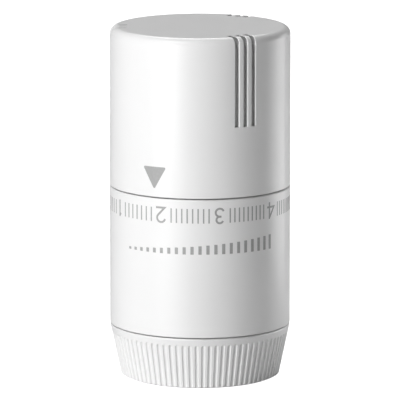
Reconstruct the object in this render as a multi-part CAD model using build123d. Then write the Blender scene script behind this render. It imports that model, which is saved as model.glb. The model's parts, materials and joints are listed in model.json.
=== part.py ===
from build123d import *

import os
from math import radians, sqrt, tan

# Thermostatic radiator head that stands on its union nut.
# Millimetres, +Z up, origin at the middle of the nut's underside.
# Bearings are in degrees about +Z, counted from -Y (the front) towards +X.

# Outside
BODY_R = 22.5                # handle cap and scale sleeve
HEIGHT = 88.0
SEAM_GAP = 0.3               # gap between the three outer shells
NUT_TOP = 13.1
SLEEVE_LOW = NUT_TOP + SEAM_GAP
SLEEVE_TOP = 48.0
HANDLE_LOW = SLEEVE_TOP + SEAM_GAP
CAP_ROUND_R = 1.9            # round between the cap's side and its top
LIP_ROUND_R = 0.15           # softened lower edge of a shell, above a seam
SHOULDER_R = 0.35            # rounder upper edge of a shell, below a seam

# Grip grooves of the handle cap
GRIP_BEARINGS = (30, 150, 270)
GROOVE_PITCH = 2.31
GROOVE_WIDTH = 1.2
GROOVE_DEPTH = 0.95
GROOVE_LOW = 65.75
GROOVE_END_R = 18.25         # where the groove ends on the top face
GROOVE_END_DEPTH = 0.25
GROOVE_LIP_R = 0.1           # softened long edges

# Union nut, M30 x 1.5 internal thread
NUT_LOW_R = 19.75            # where the tapered side would meet the underside
FLUTE_COUNT = 84
FLUTE_R = 0.52
FLUTE_DEPTH = 0.42
FLUTE_TOP = 11.4
NUT_RIM_R = 18.7             # smooth rim under the flutes
NUT_CHAMFER = 0.5
THREAD_PITCH = 1.5
THREAD_MAJOR_R = 15.0
THREAD_MINOR_R = 14.3
SEAT_Z = 9.0                 # face of the base that lands on the valve
NECK_R = 13.8
RING_LOW, RING_HIGH = 10.35, 11.65
RING_INNER_R, RING_OUTER_R = 13.3, 14.8

# Base and the carrier's three-start thread
WEB_LOW, WEB_HIGH = 24.0, 25.5
TUBE_R = 18.0                # outside of the base's tube
TUBE_BORE_R = 16.2
TUBE_TOP = 46.0
RECESS_R = 11.0              # room for the valve's gland
RECESS_TOP = 19.5
SPINDLE_ROOM_R = 9.5         # narrower room above it, for the button and the spindle
LEAD = 7.2
STARTS = 3
CARRIER_R = 14.5
CARRIER_BORE_R = 12.0
CARRIER_LOW, CARRIER_TOP = 28.6, 82.9
CARRIER_THREAD_LOW = 30.6
THREAD_HIGH = 45.0
BASE_THREAD_LOW = CARRIER_THREAD_LOW - 1.5 * LEAD / STARTS   # half a pitch out of phase
THREAD_FLANK_DEG = 15
THREAD_MID_R = 15.45
THREAD_RIDGE = 1.05          # ridge thickness at the middle radius

# Drive
KEY_COUNT = 6
KEY_WIDTH = 2.8
KEY_R = 16.8
DRIVE_BORE_R = 17.0
SKIRT_BORE_R = 19.05
SKIRT_R = 20.3
CEILING_Z = 85.8
FINGER_COUNT = 4
STOP_GAP_DEG = 0.75
LUG_WIDTH_DEG = 30
TURN_MIN_DEG, TURN_MAX_DEG = -101.5, 120.0

# Sensor
SENSOR_R = 11.5
SENSOR_LOW, SENSOR_TOP = 30.0, 64.0
BELLOWS_LOW, BELLOWS_TOP = 32.5, 50.0
PIN_R = 2.0
BUTTON_R = 4.95
BUTTON_FACE_Z = SEAT_Z + 11.8    # closing dimension of an M30 x 1.5 valve
BUTTON_TOP = 27.5
BUSH_BORE_R = 5.0
PLATE_LOW, PLATE_HIGH = 79.4, 81.0

UPRIGHT = (Align.CENTER, Align.CENTER, Align.MIN)


# ------------------------------------------------------------------ helpers
def at_bearing(degrees, shape):
    """Turn a shape that was made at +X to a bearing."""
    return Rot(0, 0, degrees - 90) * shape


def disc(radius, low, high):
    return Pos(0, 0, low) * Cylinder(radius, high - low, align=UPRIGHT)


def tube(outer_r, inner_r, low, high):
    return disc(outer_r, low, high) - disc(inner_r, low - 1, high + 1)


def turned(*outline):
    """Revolve a closed outline of (radius, height) points."""
    face = make_face(Plane.XZ * Polyline(*outline, close=True))
    return revolve(face, Axis.Z)


def sector(outer_r, inner_r, low, high, bearing, width_deg):
    """Part of a tube, centred on a bearing."""
    outline = Polyline((inner_r, low), (outer_r, low), (outer_r, high), (inner_r, high), close=True)
    solid = revolve(make_face(Plane.XZ * outline), Axis.Z, revolution_arc=width_deg)
    return at_bearing(bearing, Rot(0, 0, -width_deg / 2) * solid)


def bar(inner_r, outer_r, low, high, width, sideways=0):
    """Upright bar at +X, moved sideways along Y."""
    box = Box(outer_r - inner_r, width, high - low, align=(Align.MIN, Align.CENTER, Align.MIN))
    return Pos(inner_r, sideways, low) * box


def spaced(count, first_deg=0):
    return [first_deg + 360 * i / count for i in range(count)]


def helical_ridge(outline, lead, low, high, start_deg):
    """Sweep an axial section of (radius, height) points up a right-hand helix."""
    path = Helix(pitch=lead, height=high - low, radius=outline[0][0])
    section = make_face(Plane.XZ * Polyline(*outline, close=True))
    ridge = sweep(section, path=path, is_frenet=True)
    return Rot(0, 0, start_deg) * Pos(0, 0, low) * ridge


def coil(mean_r, wire_r, low, high, turns):
    """Open spring between two heights."""
    rise = high - low - 2 * wire_r
    path = Helix(pitch=rise / turns, height=rise, radius=mean_r)
    section = Plane(origin=path @ 0, z_dir=path % 0) * Circle(wire_r)
    return Pos(0, 0, low + wire_r) * sweep(section, path=path, is_frenet=True)


def ridge_half_width(radius, toward_crest):
    """Half the axial width of a carrier or base thread ridge at a radius."""
    return THREAD_RIDGE / 2 - toward_crest * (radius - THREAD_MID_R) * tan(radians(THREAD_FLANK_DEG))


# ------------------------------------------------------------------ handle
def grip_groove():
    """Cutter for one groove: up the side, round the corner and a little way across the top face."""
    floor_r = BODY_R - GROOVE_DEPTH
    bend_r = floor_r - GROOVE_END_R
    bend = CenterArc((GROOVE_END_R, HEIGHT - GROOVE_END_DEPTH - bend_r), bend_r, 0, 90)
    side = Line((floor_r, GROOVE_LOW), bend @ 0)
    outside = Polyline(
        bend @ 1,
        (GROOVE_END_R, HEIGHT + 1),
        (BODY_R + 2, HEIGHT + 1),
        (BODY_R + 2, GROOVE_LOW),
        side @ 0,
    )
    face = make_face(Plane.XZ * (side + bend + outside))
    return extrude(face, amount=GROOVE_WIDTH / 2, both=True)


def is_groove_lip(edge):
    """True for a long edge of a groove: up the side, round the corner or across the top face."""
    middle = edge.center()
    radius = sqrt(middle.X**2 + middle.Y**2)
    if edge.geom_type == GeomType.BSPLINE:
        return middle.Z > HEIGHT - CAP_ROUND_R and radius > BODY_R - CAP_ROUND_R
    up_side = radius > BODY_R - 0.1 and middle.Z > GROOVE_LOW
    across_top = middle.Z > HEIGHT - 0.01 and radius > GROOVE_END_R + 0.5
    long_enough = 1.2 * GROOVE_WIDTH < edge.length < HEIGHT - GROOVE_LOW
    return edge.geom_type == GeomType.LINE and (up_side or across_top) and long_enough


def handle_cap():
    wall = 2.0
    outer = disc(BODY_R, HANDLE_LOW, HEIGHT)
    outer = fillet(outer.edges().sort_by(Axis.Z)[-1], CAP_ROUND_R)
    low_edge = outer.edges().filter_by(GeomType.CIRCLE).sort_by(Axis.Z)[0]
    outer = fillet(low_edge, LIP_ROUND_R)
    inner = disc(BODY_R - wall, HANDLE_LOW - 1, CEILING_Z)
    inner = fillet(inner.edges().sort_by(Axis.Z)[-1], 0.8)
    cap = outer - inner
    # pairs of rails that hold the drive sleeve's ribs
    for bearing in spaced(KEY_COUNT):
        for side in (-1, 1):
            cap += at_bearing(bearing, bar(19.3, BODY_R - wall + 0.1, 54.0, CEILING_Z, 1.0, side * 1.6))
    cut = grip_groove()
    for bearing in GRIP_BEARINGS:
        for step in (-1, 0, 1):
            offset = step * GROOVE_PITCH
            sagitta = BODY_R - sqrt(BODY_R**2 - offset**2)
            cap -= at_bearing(bearing, Pos(-sagitta, offset, 0) * cut)
    return fillet(cap.edges().filter_by(is_groove_lip), GROOVE_LIP_R)


def drive_sleeve():
    low, flange_low, flange_high = 38.0, TUBE_TOP + 0.3, SLEEVE_TOP
    sleeve = turned(
        (SKIRT_BORE_R, low),
        (SKIRT_R, low),
        (SKIRT_R, flange_high),
        (19.0, flange_high),
        (19.0, CEILING_Z),
        (DRIVE_BORE_R, CEILING_Z),
        (DRIVE_BORE_R, flange_low),
        (SKIRT_BORE_R, flange_low),
    )
    # fingers with hooks that catch under the base's bead, freed by a slit each side
    for bearing in spaced(FINGER_COUNT, 45):
        sleeve += sector(SKIRT_BORE_R + 0.1, TUBE_R + 0.25, 42.2, 43.7, bearing, 24)
        for side in (-1, 1):
            sleeve -= at_bearing(bearing + side * 14, bar(18.5, SKIRT_R + 1, low - 1, 45.2, 1.0))
    # rails that the carrier's keys slide between, and ribs that the cap's rails hold
    rail_gap, rail_width = 0.1, 1.2
    for bearing in spaced(KEY_COUNT):
        for side in (-1, 1):
            offset = side * (KEY_WIDTH / 2 + rail_gap + rail_width / 2)
            sleeve += at_bearing(bearing, bar(15.1, DRIVE_BORE_R + 0.3, 49.6, 83.0, rail_width, offset))
        sleeve += at_bearing(bearing, bar(18.8, 20.4, 56.0, 84.4, 2.0))
    # lug that meets the base's stops
    sleeve += sector(SKIRT_R - 0.15, SKIRT_BORE_R + 0.15, 33.3, low + 1.0, 0, LUG_WIDTH_DEG)
    return sleeve


# ------------------------------------------------------------------ housing
def base_body():
    flange_low, flange_high = SLEEVE_LOW + 1.2, SLEEVE_LOW + 3.2
    groove_clear = 0.02
    body = turned(
        (RECESS_R, SEAT_Z + 0.5),
        (RECESS_R + 0.5, SEAT_Z),
        (NECK_R - 0.3, SEAT_Z),
        (NECK_R, SEAT_Z + 0.3),
        (NECK_R, RING_LOW - groove_clear),
        (RING_INNER_R, RING_LOW - groove_clear),
        (RING_INNER_R, RING_HIGH + groove_clear),
        (NECK_R, RING_HIGH + groove_clear),
        (NECK_R, flange_low),
        (20.7, flange_low),
        (20.7, flange_high),
        (TUBE_R, flange_high),
        (TUBE_R, 39.2),
        (17.45, 39.2),
        (17.45, 40.8),
        (TUBE_R, 40.8),
        (TUBE_R, 44.0),
        (18.8, 44.0),
        (18.8, 44.8),
        (TUBE_R, TUBE_TOP),
        (TUBE_BORE_R, TUBE_TOP),
        (TUBE_BORE_R, flange_high),
        (13.0, flange_high),
        (13.0, WEB_HIGH),
        (6.2, WEB_HIGH),
        (6.2, WEB_LOW),
        (SPINDLE_ROOM_R, WEB_LOW),
        (SPINDLE_ROOM_R, RECESS_TOP),
        (RECESS_R, RECESS_TOP),
    )
    for bearing in spaced(6):
        body += at_bearing(bearing, bar(12.9, TUBE_BORE_R + 0.2, flange_high - 0.2, 23.0, 1.2))
    # notches that key the scale sleeve
    for bearing in spaced(3, 60):
        body -= at_bearing(bearing, bar(19.7, 22.0, flange_low - 1, flange_high + 1, 2.3))
    # the stop fills what the handle's lug can't sweep
    stop_from = LUG_WIDTH_DEG / 2 + TURN_MAX_DEG + STOP_GAP_DEG
    stop_to = 360 - LUG_WIDTH_DEG / 2 + TURN_MIN_DEG - STOP_GAP_DEG
    body += sector(20.3, TUBE_R - 0.1, 33.0, 36.5, (stop_from + stop_to) / 2, stop_to - stop_from)
    # three-start internal thread
    root_r, crest_r = TUBE_BORE_R + 0.1, 15.0
    root, crest = ridge_half_width(root_r, -1), ridge_half_width(crest_r, -1)
    outline = ((root_r, -root), (crest_r, -crest), (crest_r, crest), (root_r, root))
    for start in spaced(STARTS):
        body += helical_ridge(outline, LEAD, BASE_THREAD_LOW, THREAD_HIGH, start)
    return body


def scale_sleeve():
    wall, floor = 1.6, 1.2
    bore_r = BODY_R - wall
    outer = disc(BODY_R, SLEEVE_LOW, SLEEVE_TOP)
    outer = fillet(outer.edges().sort_by(Axis.Z)[-1], SHOULDER_R)
    outer = fillet(outer.edges().sort_by(Axis.Z)[0], LIP_ROUND_R)
    sleeve = outer - disc(bore_r, SLEEVE_LOW + floor, SLEEVE_TOP + 1) - disc(14.1, SLEEVE_LOW - 1, SLEEVE_TOP)
    for bearing in spaced(3, 60):
        sleeve += at_bearing(bearing, bar(19.8, bore_r + 0.1, SLEEVE_LOW + floor - 0.1, 30.0, 2.0))
    # beads that snap over the base's flange
    for bearing in spaced(4, 15):
        sleeve += sector(bore_r + 0.1, 20.45, SLEEVE_LOW + floor + 2.1, SLEEVE_LOW + floor + 2.9, bearing, 16)
    return sleeve


def pin_guide_bush():
    return turned(
        (BUSH_BORE_R, 19.5),
        (6.2, 19.5),
        (6.2, WEB_HIGH),
        (7.2, WEB_HIGH),
        (7.2, WEB_HIGH + 1),
        (6.2, WEB_HIGH + 1.3),
        (BUSH_BORE_R, WEB_HIGH + 1.3),
    )


def friction_ring():
    return Pos(0, 0, 40.0) * Torus(18.2, 0.75)


def nut_snap_ring():
    return sector(RING_OUTER_R, RING_INNER_R, RING_LOW, RING_HIGH, 180, 338)


# ------------------------------------------------------------------ union nut
def nut_slope():
    return (BODY_R - NUT_LOW_R) / NUT_TOP


def flute_cutter():
    """Round cutter with a ball end that follows the tapered side at +X."""
    lift = FLUTE_R - FLUTE_DEPTH
    low_z, high_z = -1.0, FLUTE_TOP - FLUTE_R
    low = Vector(NUT_LOW_R + low_z * nut_slope() + lift, 0, low_z)
    high = Vector(NUT_LOW_R + high_z * nut_slope() + lift, 0, high_z)
    axis = high - low
    rod = Plane(origin=low, z_dir=axis) * Cylinder(FLUTE_R, axis.length, align=UPRIGHT)
    return rod + Pos(high) * Sphere(FLUTE_R)


def nut_keys(clearance=0.0):
    return [
        at_bearing(bearing, bar(16.0, 17.2 + clearance, 2.0, 13.0 + clearance, 2.0 + 2 * clearance))
        for bearing in spaced(8)
    ]


def nut_collar():
    """Knurled grip moulded over the insert."""
    collar = turned(
        (15.8, 0),
        (NUT_RIM_R, 0),
        (NUT_LOW_R + NUT_CHAMFER * nut_slope(), NUT_CHAMFER),
        (BODY_R, NUT_TOP),
        (16.6, NUT_TOP),
        (16.6, 0.6),
        (15.8, 0.6),
    )
    top_edge = collar.edges().filter_by(GeomType.CIRCLE).filter_by(lambda e: e.radius > BODY_R - 0.01)
    collar = fillet(top_edge, SHOULDER_R)
    collar -= nut_keys()
    cutter = flute_cutter()
    collar -= [Rot(0, 0, angle) * cutter for angle in spaced(FLUTE_COUNT, 0.5 * 360 / FLUTE_COUNT)]
    return collar


def nut_thread_insert():
    lip_low, top = 12.0, 13.0
    insert = turned(
        (THREAD_MAJOR_R + 0.3, 0.6),
        (16.6, 0.6),
        (16.6, top),
        (14.1, top),
        (14.1, lip_low),
        (15.3, lip_low),
        (15.3, 8.7),
        (THREAD_MINOR_R, 8.7),
        (THREAD_MINOR_R, 0.6 + THREAD_MAJOR_R + 0.3 - THREAD_MINOR_R),
    )
    insert += nut_keys()
    # 60 degree groove with a flat root an eighth of the pitch wide
    flank = tan(radians(30))
    crest_r = THREAD_MINOR_R - 0.1
    root_half = THREAD_PITCH / 16
    crest_half = root_half + (THREAD_MAJOR_R - crest_r) * flank
    outline = ((crest_r, -crest_half), (THREAD_MAJOR_R, -root_half),
               (THREAD_MAJOR_R, root_half), (crest_r, crest_half))
    return insert - helical_ridge(outline, THREAD_PITCH, -0.3, 9.5, 0)


# ------------------------------------------------------------------ carrier
def sensor_carrier():
    carrier = turned(
        (9.5, CARRIER_LOW),
        (CARRIER_R, CARRIER_LOW),
        (CARRIER_R, CARRIER_TOP),
        (CARRIER_BORE_R, CARRIER_TOP),
        (CARRIER_BORE_R, PLATE_HIGH + 1.1),
        (12.7, PLATE_HIGH + 1.1),
        (12.7, PLATE_HIGH),
        (CARRIER_BORE_R, PLATE_HIGH),
        (CARRIER_BORE_R, SENSOR_LOW),
        (9.5, SENSOR_LOW),
    )
    # windows that let the air reach the sensor, and keys for the drive sleeve
    for bearing in spaced(KEY_COUNT):
        carrier -= at_bearing(bearing + 30, bar(11.0, 16.0, 50.0, 77.0, 6.0))
        carrier += at_bearing(bearing, bar(CARRIER_R - 0.2, KEY_R, 50.0, 82.0, KEY_WIDTH))
    root_r, crest_r = CARRIER_R - 0.1, 15.9
    root, crest = ridge_half_width(root_r, 1), ridge_half_width(crest_r, 1)
    outline = ((root_r, -root), (crest_r, -crest), (crest_r, crest), (root_r, root))
    for start in spaced(STARTS):
        carrier += helical_ridge(outline, LEAD, CARRIER_THREAD_LOW, THREAD_HIGH, start)
    return carrier


def spring_plate():
    plate = tube(CARRIER_BORE_R - 0.1, 4.0, PLATE_LOW, PLATE_HIGH)
    return chamfer(plate.edges().group_by(Axis.Z)[-1], 0.3)


def plate_circlip():
    return sector(12.6, 11.0, PLATE_HIGH, PLATE_HIGH + 1.0, 180, 330)


def overload_spring():
    return coil(9.0, 0.9, SENSOR_TOP + 1.0, PLATE_LOW, 5)


# ------------------------------------------------------------------ sensor
def sensor_can():
    wall = 0.6
    can = disc(SENSOR_R, SENSOR_LOW + 0.9, SENSOR_TOP)
    can = fillet(can.edges().sort_by(Axis.Z)[-1], 1.2)
    hollow = disc(SENSOR_R - wall, SENSOR_LOW, SENSOR_TOP - wall)
    hollow = fillet(hollow.edges().sort_by(Axis.Z)[-1], 0.6)
    return can - hollow - disc(1.2, SENSOR_TOP - 2, SENSOR_TOP + 1)


def sensor_base_ring():
    return turned(
        (PIN_R + 0.08, SENSOR_LOW),
        (SENSOR_R, SENSOR_LOW),
        (SENSOR_R, SENSOR_LOW + 0.9),
        (SENSOR_R - 0.6, SENSOR_LOW + 0.9),
        (SENSOR_R - 0.6, BELLOWS_LOW),
        (PIN_R + 0.08, BELLOWS_LOW),
    )


def filling_tube():
    crimp_low = 68.0
    pipe = disc(1.2, SENSOR_TOP - 1.5, crimp_low) - disc(0.6, SENSOR_TOP - 2, crimp_low - 1)
    return pipe + Pos(0, 0, crimp_low - 0.4) * Box(3.0, 0.8, 2.6, align=UPRIGHT)


def spring_washer():
    return tube(11.0, 4.0, SENSOR_TOP, SENSOR_TOP + 1.0)


def bellows():
    """Corrugated tube with its cuffs on the base ring and the cup."""
    inner_r, outer_r, wall, folds, cuff = 6.0, 8.4, 0.3, 9, 1.0
    fold = (BELLOWS_TOP - BELLOWS_LOW - 2 * cuff) / folds
    inside, outside = [(inner_r, BELLOWS_LOW)], [(inner_r + wall, BELLOWS_LOW)]
    for i in range(folds):
        valley = BELLOWS_LOW + cuff + i * fold
        inside += [(inner_r, valley), (outer_r - wall, valley + fold / 2)]
        outside += [(inner_r + wall, valley), (outer_r, valley + fold / 2)]
    inside += [(inner_r, BELLOWS_TOP - cuff), (inner_r, BELLOWS_TOP)]
    outside += [(inner_r + wall, BELLOWS_TOP - cuff), (inner_r + wall, BELLOWS_TOP)]
    return turned(*inside, *reversed(outside))


# ------------------------------------------------------------------ pin
def bellows_cup():
    return disc(7.0, BELLOWS_TOP, BELLOWS_TOP + 1.0) + disc(3.2, BELLOWS_TOP - 1.5, BELLOWS_TOP + 0.1)


def push_pin():
    pin = disc(PIN_R, BUTTON_TOP - 2.5, BELLOWS_TOP - 1.5)
    return chamfer(pin.edges().filter_by(GeomType.CIRCLE), 0.3)


def thrust_button():
    button = disc(BUTTON_R, BUTTON_FACE_Z, BUTTON_TOP)
    button = fillet(button.edges().sort_by(Axis.Z)[0], 0.6)
    return button - disc(PIN_R, BUTTON_TOP - 2.5, BUTTON_TOP + 1)


def return_spring():
    return coil(4.6, 0.4, BELLOWS_LOW, BELLOWS_TOP, 8)


PIECES = {
    "handle_cap": handle_cap,
    "drive_sleeve": drive_sleeve,
    "base_body": base_body,
    "scale_sleeve": scale_sleeve,
    "pin_guide_bush": pin_guide_bush,
    "friction_ring": friction_ring,
    "nut_snap_ring": nut_snap_ring,
    "nut_collar": nut_collar,
    "nut_thread_insert": nut_thread_insert,
    "sensor_carrier": sensor_carrier,
    "spring_plate": spring_plate,
    "plate_circlip": plate_circlip,
    "overload_spring": overload_spring,
    "sensor_can": sensor_can,
    "sensor_base_ring": sensor_base_ring,
    "filling_tube": filling_tube,
    "spring_washer": spring_washer,
    "bellows": bellows,
    "bellows_cup": bellows_cup,
    "push_pin": push_pin,
    "thrust_button": thrust_button,
    "return_spring": return_spring,
}

os.makedirs("parts", exist_ok=True)
for name, make in PIECES.items():
    export_step(make(), f"parts/{name}.step")
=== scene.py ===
import json
from math import atan2, cos, degrees, pi, radians, sin

import bmesh
import bpy
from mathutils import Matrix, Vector


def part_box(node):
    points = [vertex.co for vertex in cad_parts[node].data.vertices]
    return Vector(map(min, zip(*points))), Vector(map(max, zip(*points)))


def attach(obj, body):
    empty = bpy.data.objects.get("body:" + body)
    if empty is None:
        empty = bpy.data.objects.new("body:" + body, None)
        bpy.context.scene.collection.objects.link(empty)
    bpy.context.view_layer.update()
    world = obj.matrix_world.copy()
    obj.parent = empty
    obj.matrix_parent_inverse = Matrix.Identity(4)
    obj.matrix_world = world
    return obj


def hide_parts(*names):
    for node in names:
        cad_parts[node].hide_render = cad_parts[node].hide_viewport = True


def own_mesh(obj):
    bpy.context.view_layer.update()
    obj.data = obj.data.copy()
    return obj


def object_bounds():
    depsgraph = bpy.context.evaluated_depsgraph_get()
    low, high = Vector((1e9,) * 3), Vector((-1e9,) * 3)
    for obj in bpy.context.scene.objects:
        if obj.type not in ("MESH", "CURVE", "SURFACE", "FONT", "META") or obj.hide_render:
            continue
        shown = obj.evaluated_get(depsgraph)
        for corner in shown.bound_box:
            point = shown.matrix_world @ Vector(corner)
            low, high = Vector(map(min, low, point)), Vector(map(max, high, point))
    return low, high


# Looks of the thermostatic radiator head. Metres, in the CAD frame: +Z up, -Y towards the viewer.
# Bearings are in degrees about +Z, counted from -Y towards +X. Lengths written in MM are millimetres.

MM = 0.001

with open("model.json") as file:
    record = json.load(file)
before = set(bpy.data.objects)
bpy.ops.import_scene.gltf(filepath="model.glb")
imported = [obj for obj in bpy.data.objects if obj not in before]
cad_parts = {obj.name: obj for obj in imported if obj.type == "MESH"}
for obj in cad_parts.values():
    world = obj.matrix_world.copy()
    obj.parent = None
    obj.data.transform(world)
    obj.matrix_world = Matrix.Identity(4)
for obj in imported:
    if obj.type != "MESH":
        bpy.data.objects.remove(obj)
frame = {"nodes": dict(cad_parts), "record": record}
cad_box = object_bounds()

BODY_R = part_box("scale_sleeve")[1].x
CENTRE_Z = (cad_box[0][2] + cad_box[1][2]) / 2
TOP_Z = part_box("handle_cap")[1].z / MM
CAP_ROUND_R = 1.9


# ------------------------------------------------------------------ node helpers
def new_material(name, **sockets):
    """A Principled material with uniform values on its own sockets."""
    material = bpy.data.materials.new(name)
    material.use_nodes = True
    tree = material.node_tree
    shader = next(n for n in tree.nodes if n.type == "BSDF_PRINCIPLED")
    for label, value in sockets.items():
        shader.inputs[label.replace("_", " ")].default_value = value
    return material, tree, shader


def node(tree, kind, inputs=(), **settings):
    """Add a node, set its properties, then fill its inputs with values or links."""
    made = tree.nodes.new(kind)
    for key, value in settings.items():
        setattr(made, key, value)
    for socket, value in dict(inputs).items():
        if isinstance(value, bpy.types.NodeSocket):
            tree.links.new(value, made.inputs[socket])
        else:
            made.inputs[socket].default_value = value
    return made


def calc(tree, operation, *values, clamp=False):
    made = node(tree, "ShaderNodeMath", dict(enumerate(values)), operation=operation, use_clamp=clamp)
    return made.outputs[0]


def length(tree, a, b):
    squares = calc(tree, "MULTIPLY_ADD", a, a, calc(tree, "MULTIPLY", b, b))
    return calc(tree, "SQRT", squares)


def place(tree):
    return node(tree, "ShaderNodeTexCoord").outputs["Object"]


def turned_place(tree, across, around):
    """Coordinates for lathe marks: radius and height finely, position round the axis coarsely."""
    split = node(tree, "ShaderNodeSeparateXYZ", {0: place(tree)})
    flat = node(tree, "ShaderNodeCombineXYZ", {0: split.outputs[0], 1: split.outputs[1]})
    radius = node(tree, "ShaderNodeVectorMath", {0: flat.outputs[0]}, operation="LENGTH").outputs["Value"]
    fine_r = calc(tree, "MULTIPLY", radius, across)
    fine_z = calc(tree, "MULTIPLY", split.outputs[2], across)
    coarse_x = calc(tree, "MULTIPLY", split.outputs[0], around)
    return node(tree, "ShaderNodeCombineXYZ", {0: fine_r, 1: fine_z, 2: coarse_x}).outputs[0]


def noise(tree, vector, scale, detail=2.0):
    made = node(tree, "ShaderNodeTexNoise", {"Vector": vector, "Scale": scale, "Detail": detail})
    return made.outputs["Fac"]


def spread(tree, value, low, high):
    """Map a noise's useful range to low...high."""
    made = node(tree, "ShaderNodeMapRange", {"Value": value, "From Min": 0.3, "From Max": 0.7,
                                             "To Min": low, "To Max": high})
    return made.outputs["Result"]


def blend_colours(tree, value, *colours):
    """Mix two colours, each given as a triple or as a node's output."""
    first, second = (c if isinstance(c, bpy.types.NodeSocket) else (*c, 1) for c in colours)
    made = node(tree, "ShaderNodeMix", {0: value, 6: first, 7: second}, data_type="RGBA")
    return made.outputs[2]


def rough_skin(tree, shader, height, depth, strength=1.0):
    made = node(tree, "ShaderNodeBump", {"Height": height, "Distance": depth, "Strength": strength})
    tree.links.new(made.outputs["Normal"], shader.inputs["Normal"])


def painted_groove_shade(tree):
    """Shade painted into the cap's grooves: 1 on the outside, and darker as a point lies deeper."""
    fade_start, fade_end = 0.4, 0.8       # millimetres of depth
    groove_side_shade, shade_per_mm_up, depth_gain_up = 0.62, -0.15, 1.5
    split = node(tree, "ShaderNodeSeparateXYZ", {0: place(tree)})
    x, y, z = (calc(tree, "DIVIDE", split.outputs[i], MM) for i in range(3))
    # millimetres past the start of the cap's round, outwards and upwards
    out = calc(tree, "SUBTRACT", length(tree, x, y), BODY_R / MM - CAP_ROUND_R)
    up = calc(tree, "SUBTRACT", z, TOP_Z - CAP_ROUND_R)
    out_only, up_only = calc(tree, "MAXIMUM", out, 0.0), calc(tree, "MAXIMUM", up, 0.0)
    inside = calc(tree, "MINIMUM", calc(tree, "MAXIMUM", out, up), 0.0)
    past_round = calc(tree, "ADD", length(tree, out_only, up_only), inside)
    depth = calc(tree, "SUBTRACT", CAP_ROUND_R, past_round)
    # the grooves run out on the top face, where they are shallow but painted with a little more shade
    weighted = calc(tree, "MULTIPLY", depth, calc(tree, "MULTIPLY_ADD", up_only, depth_gain_up, 1.0))
    groove_floor_shade = calc(tree, "MULTIPLY_ADD", up_only, shade_per_mm_up, groove_side_shade)
    made = node(tree, "ShaderNodeMapRange", {"Value": weighted, "From Min": fade_start, "From Max": fade_end,
                                             "To Min": 1.0, "To Max": groove_floor_shade})
    return made.outputs["Result"]


# ------------------------------------------------------------------ materials
def moulded_plastic(name, colour, shade, roughness, grain=5000, depth=0.004 * MM, shade_grooves=False):
    """Spark-eroded moulding: fine even grain, with a faint change of tone and gloss over the part."""
    material, tree, shader = new_material(name, IOR=1.5)
    at = place(tree)
    tone = spread(tree, noise(tree, at, 70, 3), 0, 1)
    dark = tuple(c * shade for c in colour)
    skin = blend_colours(tree, tone, colour, dark)
    # the cap's grooves get painted shade: the colour darkens as a point lies deeper
    if shade_grooves:
        shaded_skin = node(tree, "ShaderNodeVectorMath", {0: skin, "Scale": painted_groove_shade(tree)}, operation="SCALE")
        skin = shaded_skin.outputs[0]
    tree.links.new(skin, shader.inputs["Base Color"])
    gloss = spread(tree, noise(tree, at, 400), roughness - 0.03, roughness + 0.03)
    tree.links.new(gloss, shader.inputs["Roughness"])
    rough_skin(tree, shader, noise(tree, at, grain, 3), depth)
    return material


def turned_metal(name, colour, roughness, across=6000, depth=0.006 * MM, stain=0.8):
    """Machined, drawn or rolled metal whose marks run around the axis, with patches of tarnish."""
    material, tree, shader = new_material(name, Metallic=1.0)
    marks = noise(tree, turned_place(tree, across, 120), 1.0, 3)
    patches = spread(tree, noise(tree, place(tree), 160, 4), 0, 1)
    dull = tuple(c * stain for c in colour)
    tree.links.new(blend_colours(tree, patches, colour, dull), shader.inputs["Base Color"])
    tree.links.new(spread(tree, marks, roughness - 0.08, roughness + 0.12), shader.inputs["Roughness"])
    rough_skin(tree, shader, marks, depth, 0.6)
    return material


def seal_rubber():
    material, tree, shader = new_material("seal_rubber", IOR=1.52)
    at = place(tree)
    bloom = spread(tree, noise(tree, at, 300, 4), 0, 1)
    tree.links.new(blend_colours(tree, bloom, (0.02, 0.02, 0.02), (0.045, 0.045, 0.047)),
                   shader.inputs["Base Color"])
    tree.links.new(spread(tree, noise(tree, at, 1500), 0.6, 0.75), shader.inputs["Roughness"])
    rough_skin(tree, shader, noise(tree, at, 4000, 3), 0.01 * MM)
    return material


def printed_ink():
    """Grey pad-printing ink, with the film's slight mottling."""
    material, tree, shader = new_material("scale_ink", IOR=1.48)
    at = place(tree)
    film = spread(tree, noise(tree, at, 1800, 3), 0, 1)
    tree.links.new(blend_colours(tree, film, (0.41, 0.41, 0.41), (0.37, 0.37, 0.37)),
                   shader.inputs["Base Color"])
    tree.links.new(spread(tree, noise(tree, at, 3000), 0.42, 0.5), shader.inputs["Roughness"])
    rough_skin(tree, shader, noise(tree, at, 9000), 0.002 * MM)
    return material


def add_object(name, data):
    made = bpy.data.objects.new(name, data)
    bpy.context.scene.collection.objects.link(made)
    return made


WHITE = (0.885, 0.885, 0.885)
MATERIALS = {
    "shell_white": moulded_plastic("shell_white", WHITE, 0.985, 0.35),
    "inner_plastic": moulded_plastic("inner_plastic", (0.74, 0.74, 0.73), 0.96, 0.45, 3500, 0.008 * MM),
    "carrier_plastic": moulded_plastic("carrier_plastic", (0.66, 0.655, 0.63), 0.95, 0.4, 3500, 0.006 * MM),
    "insert_brass": turned_metal("insert_brass", (0.80, 0.58, 0.27), 0.3),
    "sensor_metal": turned_metal("sensor_metal", (0.80, 0.80, 0.81), 0.34, 4000),
    "spring_steel": turned_metal("spring_steel", (0.56, 0.56, 0.57), 0.3, 8000),
    "seal_rubber": seal_rubber(),
}
# the cap's white, with shade painted into its grooves
CAP_WHITE_SHADED = moulded_plastic("cap_white_shaded", WHITE, 0.985, 0.35, shade_grooves=True)
INK = printed_ink()


def dress_frame():
    for part in frame["record"]["subparts"]:
        mesh = frame["nodes"][part["node"]].data
        mesh.materials.clear()
        mesh.materials.append(CAP_WHITE_SHADED if part["node"] == "handle_cap" else MATERIALS[part["material_slot"]])


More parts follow.
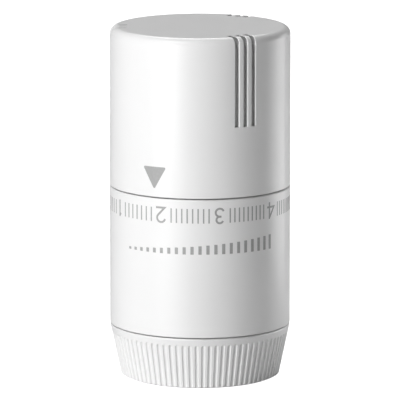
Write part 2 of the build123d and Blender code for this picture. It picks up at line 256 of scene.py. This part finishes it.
# ------------------------------------------------------------------ springs and bellows
def soft_metal_piece(bm, node_name, slot, body):
    """A springy piece, built as a mesh that rides on its body in place of its CAD solid."""
    bmesh.ops.recalc_face_normals(bm, faces=bm.faces)
    mesh = bpy.data.meshes.new(f"{node_name}_wound")
    bm.to_mesh(mesh)
    bm.free()
    mesh.polygons.foreach_set("use_smooth", [True] * len(mesh.polygons))
    mesh.materials.append(MATERIALS[slot])
    piece = add_object(mesh.name, mesh)
    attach(piece, body)
    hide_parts(node_name)
    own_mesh(piece)


def bridge(bm, rings, closed):
    """Skin a row of equal rings of vertices, and cap its ends unless it closes on itself."""
    pairs = list(zip(rings, rings[1:]))
    if closed:
        pairs.append((rings[-1], rings[0]))
    else:
        bm.faces.new(rings[0])
        bm.faces.new(rings[-1])
    for first, second in pairs:
        for i in range(len(first)):
            j = (i + 1) % len(first)
            bm.faces.new((first[i], first[j], second[j], second[i]))


def wire_coil(node_name, wire_r, turns):
    """Round wire wound to the height and width of its CAD solid."""
    low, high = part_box(node_name)
    per_turn, sides = 48, 12
    mean_r, rise = high.x - wire_r, high.z - low.z - 2 * wire_r
    lead_angle = atan2(rise / turns, 2 * pi * mean_r)
    bm = bmesh.new()
    rings = []
    for i in range(turns * per_turn + 1):
        turn = 2 * pi * i / per_turn
        outwards = Vector((cos(turn), sin(turn), 0))
        upwards = Vector((sin(turn) * sin(lead_angle), -cos(turn) * sin(lead_angle), cos(lead_angle)))
        centre = outwards * mean_r + Vector((0, 0, low.z + wire_r + rise * i / (turns * per_turn)))
        spokes = [2 * pi * k / sides for k in range(sides)]
        rings.append([bm.verts.new(centre + (outwards * cos(a) + upwards * sin(a)) * wire_r) for a in spokes])
    bridge(bm, rings, closed=False)
    return bm


def bellows_tube(node_name, folds, root_r, wall, cuff):
    """Thin corrugated tube with a plain cuff at each end."""
    low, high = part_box(node_name)
    fold_steps, sides = 10, 64
    corrugated = high.z - low.z - 2 * cuff
    outside = [(root_r, low.z)]
    for i in range(folds * fold_steps + 1):
        crest = (1 - cos(2 * pi * i / fold_steps)) / 2
        radius = root_r + (high.x - root_r) * crest
        outside.append((radius, low.z + cuff + corrugated * i / (folds * fold_steps)))
    outside.append((root_r, high.z))
    outline = outside + [(radius - wall, z) for radius, z in reversed(outside)]
    bm = bmesh.new()
    rings = []
    for k in range(sides):
        turn = 2 * pi * k / sides
        rings.append([bm.verts.new((radius * cos(turn), radius * sin(turn), z)) for radius, z in outline])
    bridge(bm, rings, closed=True)
    return bm


def springy_pieces():
    soft_metal_piece(wire_coil("overload_spring", 0.9 * MM, 5), "overload_spring", "spring_steel",
                     "carrier")
    soft_metal_piece(wire_coil("return_spring", 0.4 * MM, 8), "return_spring", "spring_steel",
                     "pin")
    soft_metal_piece(bellows_tube("bellows", 9, 6.3 * MM, 0.3 * MM, 1 * MM), "bellows", "sensor_metal",
                     "sensor")


# ------------------------------------------------------------------ printing
INK_LIFT = 0.02 * MM
INK_DEPTH = 0.05 * MM
WRAP_STEP = 0.4 * MM         # widest flat facet of ink round the body

SCALE_Z = 43.99 * MM
TICK_HEIGHT = 3.6 * MM
TICK_WIDTH = 0.34 * MM
FIGURE_HEIGHT = 4.13 * MM
STROKE = 0.49 * MM


def arc(centre, radius, start, stop, steps=14):
    """Points along an arc, angles in degrees from +u towards +v."""
    angles = [radians(start + (stop - start) * i / steps) for i in range(steps + 1)]
    return [(centre[0] + radius * cos(a), centre[1] + radius * sin(a)) for a in angles]


def stroke(points, width=STROKE):
    """A ribbon along a path, as a row of quads with mitred corners."""
    sides = []
    for i, (u, v) in enumerate(points):
        back = points[max(i - 1, 0)]
        ahead = points[min(i + 1, len(points) - 1)]
        before = Vector((u - back[0], v - back[1]))
        after = Vector((ahead[0] - u, ahead[1] - v))
        if not before.length:
            before = after
        if not after.length:
            after = before
        run = (before.normalized() + after.normalized()).normalized()
        reach = width / 2 / max(run.dot(after.normalized()), 0.35)
        across = Vector((-run.y, run.x)) * reach
        sides.append(((u + across.x, v + across.y), (u - across.x, v - across.y)))
    return [[a[0], b[0], b[1], a[1]] for a, b in zip(sides, sides[1:])]


def print_on_body(name, body, polygons):
    """Lay flat polygons on the cylinder as a thin film of ink. u runs round the body from bearing 0."""
    bm = bmesh.new()
    for polygon in polygons:
        bm.faces.new([bm.verts.new((u, v, 0)) for u, v in polygon])
    bmesh.ops.remove_doubles(bm, verts=bm.verts, dist=0.001 * MM)
    low = min(v.co.x for v in bm.verts)
    high = max(v.co.x for v in bm.verts)
    for i in range(1, int((high - low) / WRAP_STEP) + 1):
        geometry = bm.verts[:] + bm.edges[:] + bm.faces[:]
        bmesh.ops.bisect_plane(bm, geom=geometry, dist=1e-7, plane_co=(low + i * WRAP_STEP, 0, 0),
                               plane_no=(1, 0, 0))
    radius = BODY_R + INK_LIFT
    for vertex in bm.verts:
        angle = vertex.co.x / BODY_R
        vertex.co = (radius * sin(angle), -radius * cos(angle), vertex.co.y)
    bmesh.ops.recalc_face_normals(bm, faces=bm.faces)
    bm.normal_update()
    for face in bm.faces:
        middle = face.calc_center_median()
        if face.normal.x * middle.x + face.normal.y * middle.y < 0:
            face.normal_flip()
    mesh = bpy.data.meshes.new(name)
    bm.to_mesh(mesh)
    bm.free()
    mesh.materials.append(INK)
    piece = add_object(name, mesh)
    film = piece.modifiers.new("film", "SOLIDIFY")
    film.thickness = INK_DEPTH
    film.offset = -1
    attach(piece, body)


def figure_zero():
    w, h, t = 2.75 * MM, FIGURE_HEIGHT, STROKE
    r = (w - t) / 2
    loop = arc((w / 2, h - t / 2 - r), r, 0, 180) + arc((w / 2, t / 2 + r), r, 180, 360)
    return [loop + loop[:1]], w


def figure_one():
    w, h = 0.9 * MM, FIGURE_HEIGHT
    stem = w - STROKE / 2
    return [[(stem, 0), (stem, h)], [(0.1 * MM, h - 0.85 * MM), (stem, h - 0.3 * MM)]], w


def figure_two():
    w, h, t = 2.68 * MM, FIGURE_HEIGHT, STROKE
    r = 1.08 * MM
    bowl = arc((w / 2 - 0.02 * MM, h - t / 2 - r), r, 168, -35)
    return [bowl + [(t / 2 + 0.12 * MM, t / 2), (w, t / 2)]], w


def figure_three():
    w, h, t = 2.57 * MM, FIGURE_HEIGHT, STROKE
    low_r = 1.0 * MM
    high_r = (h - t) / 2 - low_r
    wide = (w - t) / 2 / low_r
    low_bowl = arc((0, t / 2 + low_r), low_r, -160, 90)
    high_bowl = arc((0, h - t / 2 - high_r), high_r, -90, 160)
    waist = t / 2 + 2 * low_r
    bar = [(-0.4 * MM, waist), (0.1 * MM, waist)]
    return [[(w / 2 + wide * u, v) for u, v in path] for path in (low_bowl, high_bowl, bar)], w


def figure_four():
    w, h, t = 2.96 * MM, FIGURE_HEIGHT, STROKE
    stem, bar = w - 0.85 * MM, 1.2 * MM
    return [[(w, bar), (t * 0.7, bar), (stem, h - t / 2)], [(stem, 0), (stem, h)]], w


def figure_five():
    w, h, t = 2.6 * MM, FIGURE_HEIGHT, STROKE
    r = 1.12 * MM
    bowl = arc((w / 2 - 0.05 * MM, t / 2 + r), r, -155, 140)
    return [bowl + [(0.42 * MM, h - t / 2), (w - 0.25 * MM, h - t / 2)]], w


def frost_mark():
    """Six-armed frost sign, the arms starting clear of each other."""
    w, r = 2.9 * MM, 1.45 * MM
    arms = []
    for angle in (30, 90, 150, 210, 270, 330):
        a = radians(angle)
        arms.append([(w / 2 + reach * cos(a), FIGURE_HEIGHT / 2 + reach * sin(a)) for reach in (0.3 * MM, r)])
    return arms, w


# Marks of the scale from cold to warm: drawing, bearing, and the angle kept free on each side.
MARKS = [
    (figure_zero, -131.0, 6.9),
    (frost_mark, -94.3, 6.9),
    (figure_one, -61.2, 6.1),
    (figure_two, -25.3, 6.9),
    (figure_three, 12.5, 6.8),
    (figure_four, 51.3, 7.0),
    (figure_five, 90.4, 6.9),
]
FIRST_TICK_COUNT = 5         # each next interval has one more


def figures():
    """The figures stand on their heads, because the head is usually mounted lying down."""
    polygons = []
    for draw, bearing, _ in MARKS:
        paths, width = draw()
        middle = radians(bearing) * BODY_R
        for path in paths:
            placed = [(middle + width / 2 - u, SCALE_Z + FIGURE_HEIGHT / 2 - v) for u, v in path]
            polygons += stroke(placed)
    return polygons


def ticks():
    polygons = []
    for i, (left, right) in enumerate(zip(MARKS, MARKS[1:])):
        count = FIRST_TICK_COUNT + i
        first, last = left[1] + left[2], right[1] - right[2]
        for k in range(count):
            u = radians(first + (last - first) * k / (count - 1)) * BODY_R
            polygons += stroke([(u, SCALE_Z - TICK_HEIGHT / 2), (u, SCALE_Z + TICK_HEIGHT / 2)], TICK_WIDTH)
    return polygons


def warmth_bars():
    """Plain row of bars that grow from cold to warm."""
    count, half_span, low = 21, 50, 34.4 * MM
    width, tallest, shortest = 0.8 * MM, 3.6 * MM, 0.6 * MM
    polygons = []
    for i in range(count):
        share = i / (count - 1)
        u = radians(half_span * (2 * share - 1)) * BODY_R
        height = shortest + (tallest - shortest) * share
        polygons += stroke([(u, low), (u, low + height)], width)
    return polygons


def setting_pointer():
    """Triangle with rounded corners that points down at the scale."""
    corners = [(-38.3, 55.85), (-21.7, 55.85), (-30.0, 50.25)]
    points = [Vector((radians(bearing) * BODY_R, z * MM)) for bearing, z in corners]
    corner_r = 0.3 * MM
    outline = []
    for i, tip in enumerate(points):
        before = (points[i - 1] - tip).normalized()
        after = (points[(i + 1) % 3] - tip).normalized()
        half = before.angle(after) / 2
        inward = (before + after).normalized()
        centre = tip + inward * corner_r / sin(half)
        middle = degrees(atan2(-inward.y, -inward.x))
        sweep = 90 - degrees(half)
        outline += arc(centre, corner_r, middle + sweep, middle - sweep, 6)
    hub = sum(points, Vector((0, 0))) / 3
    ring = outline + outline[:1]
    return [[tuple(hub), a, b] for a, b in zip(ring, ring[1:])]


# ------------------------------------------------------------------ studio
def white_floor():
    """Pale floor that shows as plain white and throws light back. View and light from below pass through."""
    bpy.ops.mesh.primitive_plane_add(size=20)
    floor = bpy.context.object
    floor.name = "floor"
    material, tree, shader = new_material("floor", Base_Color=(0.6, 0.6, 0.6, 1), Roughness=1.0)
    shader.inputs["Specular IOR Level"].default_value = 0
    glow = node(tree, "ShaderNodeEmission", {"Color": (1, 1, 1, 1), "Strength": 1.0})
    ray = node(tree, "ShaderNodeLightPath")
    below = node(tree, "ShaderNodeNewGeometry").outputs["Backfacing"]
    seen_above = calc(tree, "SUBTRACT", ray.outputs["Is Camera Ray"], below, clamp=True)
    open_to = calc(tree, "MAXIMUM", ray.outputs["Is Shadow Ray"], below)
    lit = node(tree, "ShaderNodeAddShader", {0: shader.outputs[0], 1: glow.outputs[0]})
    top = node(tree, "ShaderNodeMixShader", {0: seen_above, 1: shader.outputs[0], 2: lit.outputs[0]})
    clear = node(tree, "ShaderNodeBsdfTransparent")
    mix = node(tree, "ShaderNodeMixShader", {0: open_to, 1: top.outputs[0], 2: clear.outputs[0]})
    output = next(n for n in tree.nodes if n.type == "OUTPUT_MATERIAL")
    tree.links.new(mix.outputs[0], output.inputs["Surface"])
    floor.data.materials.append(material)


def white_surroundings():
    """Plain white to the camera, and no light on the object."""
    world = bpy.data.worlds.new("studio")
    world.use_nodes = True
    background = world.node_tree.nodes["Background"]
    seen = node(world.node_tree, "ShaderNodeLightPath").outputs["Is Camera Ray"]
    world.node_tree.links.new(seen, background.inputs["Strength"])
    background.inputs["Color"].default_value = (1, 1, 1, 1)
    bpy.context.scene.world = world


def area_light(name, place, aim, width, height, radiance):
    """Rectangle of light, with its brightness given as radiance."""
    lamp = bpy.data.lights.new(name, "AREA")
    lamp.shape = "RECTANGLE"
    lamp.size = width
    lamp.size_y = height
    lamp.energy = radiance * pi * width * height
    light = add_object(name, lamp)
    light.location = place
    light.rotation_euler = aim.to_track_quat("-Z", "Y").to_euler()
    light.visible_camera = False


def strip(name, bearing, distance, width, low, high, radiance):
    """Upright softbox beside the object, from one height to another."""
    outwards = Vector((sin(radians(bearing)), -cos(radians(bearing)), 0))
    place = outwards * distance + Vector((0, 0, (low + high) / 2))
    area_light(name, place, -outwards, width, high - low, radiance)


def high_panel(name, bearing, radiance):
    """Square softbox a metre away, high up."""
    size, b, e = 0.5, radians(bearing), radians(50)
    outwards = Vector((sin(b) * cos(e), -cos(b) * cos(e), sin(e)))
    area_light(name, Vector((0, 0, CENTRE_Z)) + outwards, -outwards, size, size, radiance)


def studio_lights():
    """Lights balanced for the main view."""
    strip("key", -45, 1.0, 0.22, 0.005, 0.17, 31)
    strip("key_right", -30, 1.0, 0.22, 0.005, 0.17, 19)
    strip("back_rim", 135, 1.0, 0.22, 0.17, 0.34, 4.5)
    # low and close, so that the vertical walls mirror them and the round of the cap doesn't
    strip("rim_front", 105, 0.15, 0.045, 0.0005, 0.1, 2.8)
    strip("rim_back", 120, 0.15, 0.045, 0.0005, 0.1, 3.3)
    area_light("under", Vector((0, 0, -0.3)), Vector((0, 0, 1)), 0.16, 0.16, 1.8)
    high_panel("key_high", -45, 6.5)
    high_panel("back_high", 180, 5.3)


def camera():
    """Long lens, a little above the object and square in front of it."""
    elevation, distance, aim_z = radians(10.306), 1.3848, 43.99 * MM
    lens = bpy.data.cameras.new("camera")
    lens.lens = 499.1
    lens.sensor_width = 36
    lens.clip_end = 100
    viewer = add_object("camera", lens)
    viewer.location = (0, -distance * cos(elevation), aim_z + distance * sin(elevation))
    viewer.rotation_euler = (pi / 2 - elevation, 0, 0)
    bpy.context.scene.camera = viewer


dress_frame()
springy_pieces()
print_on_body("scale_figures", "housing", figures())
print_on_body("scale_ticks", "housing", ticks())
print_on_body("warmth_bars", "housing", warmth_bars())
print_on_body("setting_pointer", "handle", setting_pointer())
white_floor()
white_surroundings()
studio_lights()
camera()
bpy.context.scene.view_settings.view_transform = "Standard"
